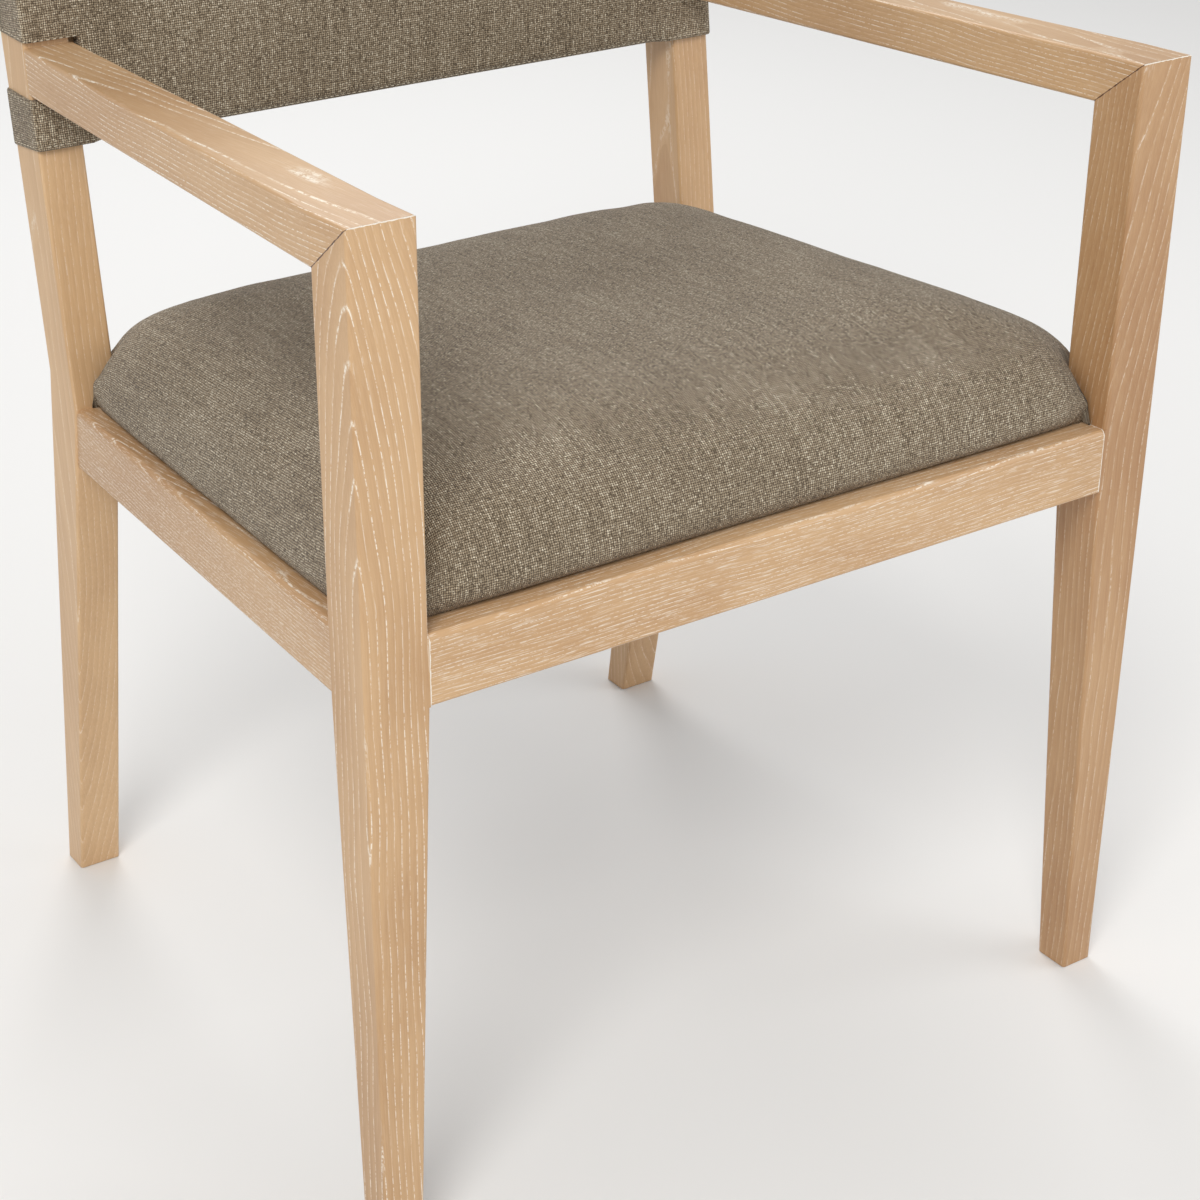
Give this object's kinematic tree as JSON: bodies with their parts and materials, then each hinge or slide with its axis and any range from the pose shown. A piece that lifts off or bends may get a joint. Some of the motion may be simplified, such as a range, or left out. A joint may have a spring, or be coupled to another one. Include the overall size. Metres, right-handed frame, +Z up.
{
  "type": "wooden armchair",
  "caption": "Wooden armchair with tapered front legs mitred into sloping arms, bent rear posts, a crowned upholstered seat and a flat wrapped upholstered back.",
  "frame": {"origin": "on the floor, at the middle of the chair's width and depth", "axes": "+Z up, -Y the way the sitter faces, +X to the sitter's left"},
  "size_m": [0.598, 0.546, 0.8654],
  "materials": {
    "show_wood": "limed open-grain ash, clear satin lacquer",
    "inner_wood": "bare planed beech",
    "plywood": "bare sanded birch plywood",
    "screw_steel": "zinc-plated",
    "staple_steel": "galvanised wire",
    "foam": "open-cell polyurethane foam",
    "wadding": "white polyester wadding",
    "cover_fabric": "slubby plain-weave upholstery fabric in taupe",
    "dust_fabric": "black non-woven cloth"
  },
  "bodies": {
    "root": {"front_leg_left": "show_wood", "front_leg_right": "show_wood", "rear_post_left": "show_wood", "rear_post_right": "show_wood", "arm_left": "show_wood", "arm_right": "show_wood", "front_rail": "show_wood", "rear_rail": "show_wood", "side_rail_left": "show_wood", "side_rail_right": "show_wood", "corner_block_front_left": "inner_wood", "corner_block_front_right": "inner_wood", "corner_block_rear_left": "inner_wood", "corner_block_rear_right": "inner_wood", "front_rail_dowels": "inner_wood", "rear_rail_dowels": "inner_wood", "side_rail_dowels": "inner_wood", "arm_dowels": "inner_wood", "mitre_dowels": "inner_wood", "back_top_rail": "inner_wood", "back_bottom_rail": "inner_wood", "back_rail_dowels": "inner_wood", "seat_board": "plywood", "back_front_panel": "plywood", "back_rear_panel": "plywood", "corner_block_screws": "screw_steel", "seat_screws": "screw_steel", "back_panel_screws": "screw_steel", "seat_cover_staples": "staple_steel", "dust_cloth_staples": "staple_steel", "seat_foam": "foam", "back_foam": "foam", "seat_wadding": "wadding", "seat_cover": "cover_fabric", "back_cover": "cover_fabric", "dust_cloth": "dust_fabric"}
  },
  "joints": []
}
